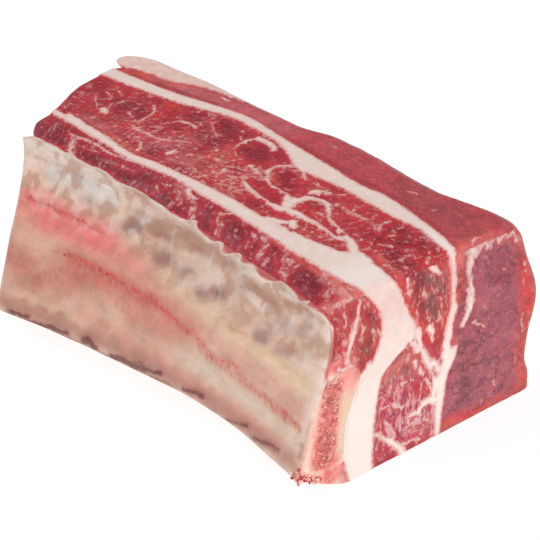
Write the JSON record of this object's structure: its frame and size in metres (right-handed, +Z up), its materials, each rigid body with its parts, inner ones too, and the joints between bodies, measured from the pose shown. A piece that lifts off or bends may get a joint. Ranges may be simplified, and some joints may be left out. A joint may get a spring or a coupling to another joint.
{
  "type": "raw beef short rib",
  "caption": "Raw beef short rib: a thick chunk of marbled red meat with bands of pale fat, the rib bone in its cut end and a membrane over its inner side.",
  "frame": {"origin": "on the ground, under the middle of the chunk's box", "axes": "+X from the inner side of the rib cage to the outer side, +Y along the rib from the near cut end to the far one, +Z up"},
  "size_m": [0.1074, 0.1382, 0.06],
  "materials": {
    "meat": "moist red meat with fine pale marbling",
    "fat": "soft cream fat, slightly glossy",
    "bone": "sawn bone, salmon rim round a creamy and dark red marrow",
    "membrane": "thin wet beige membrane with pink and brown blotches"
  },
  "bodies": {
    "root": {"inner_membrane": "membrane", "rib_bone": "bone", "upper_rib_meat": "meat", "lower_rib_meat": "meat", "inner_fat_seam": "fat", "middle_meat": "meat", "outer_fat_seam": "fat", "outer_meat": "meat", "outer_fat_cap": "fat"}
  },
  "joints": []
}
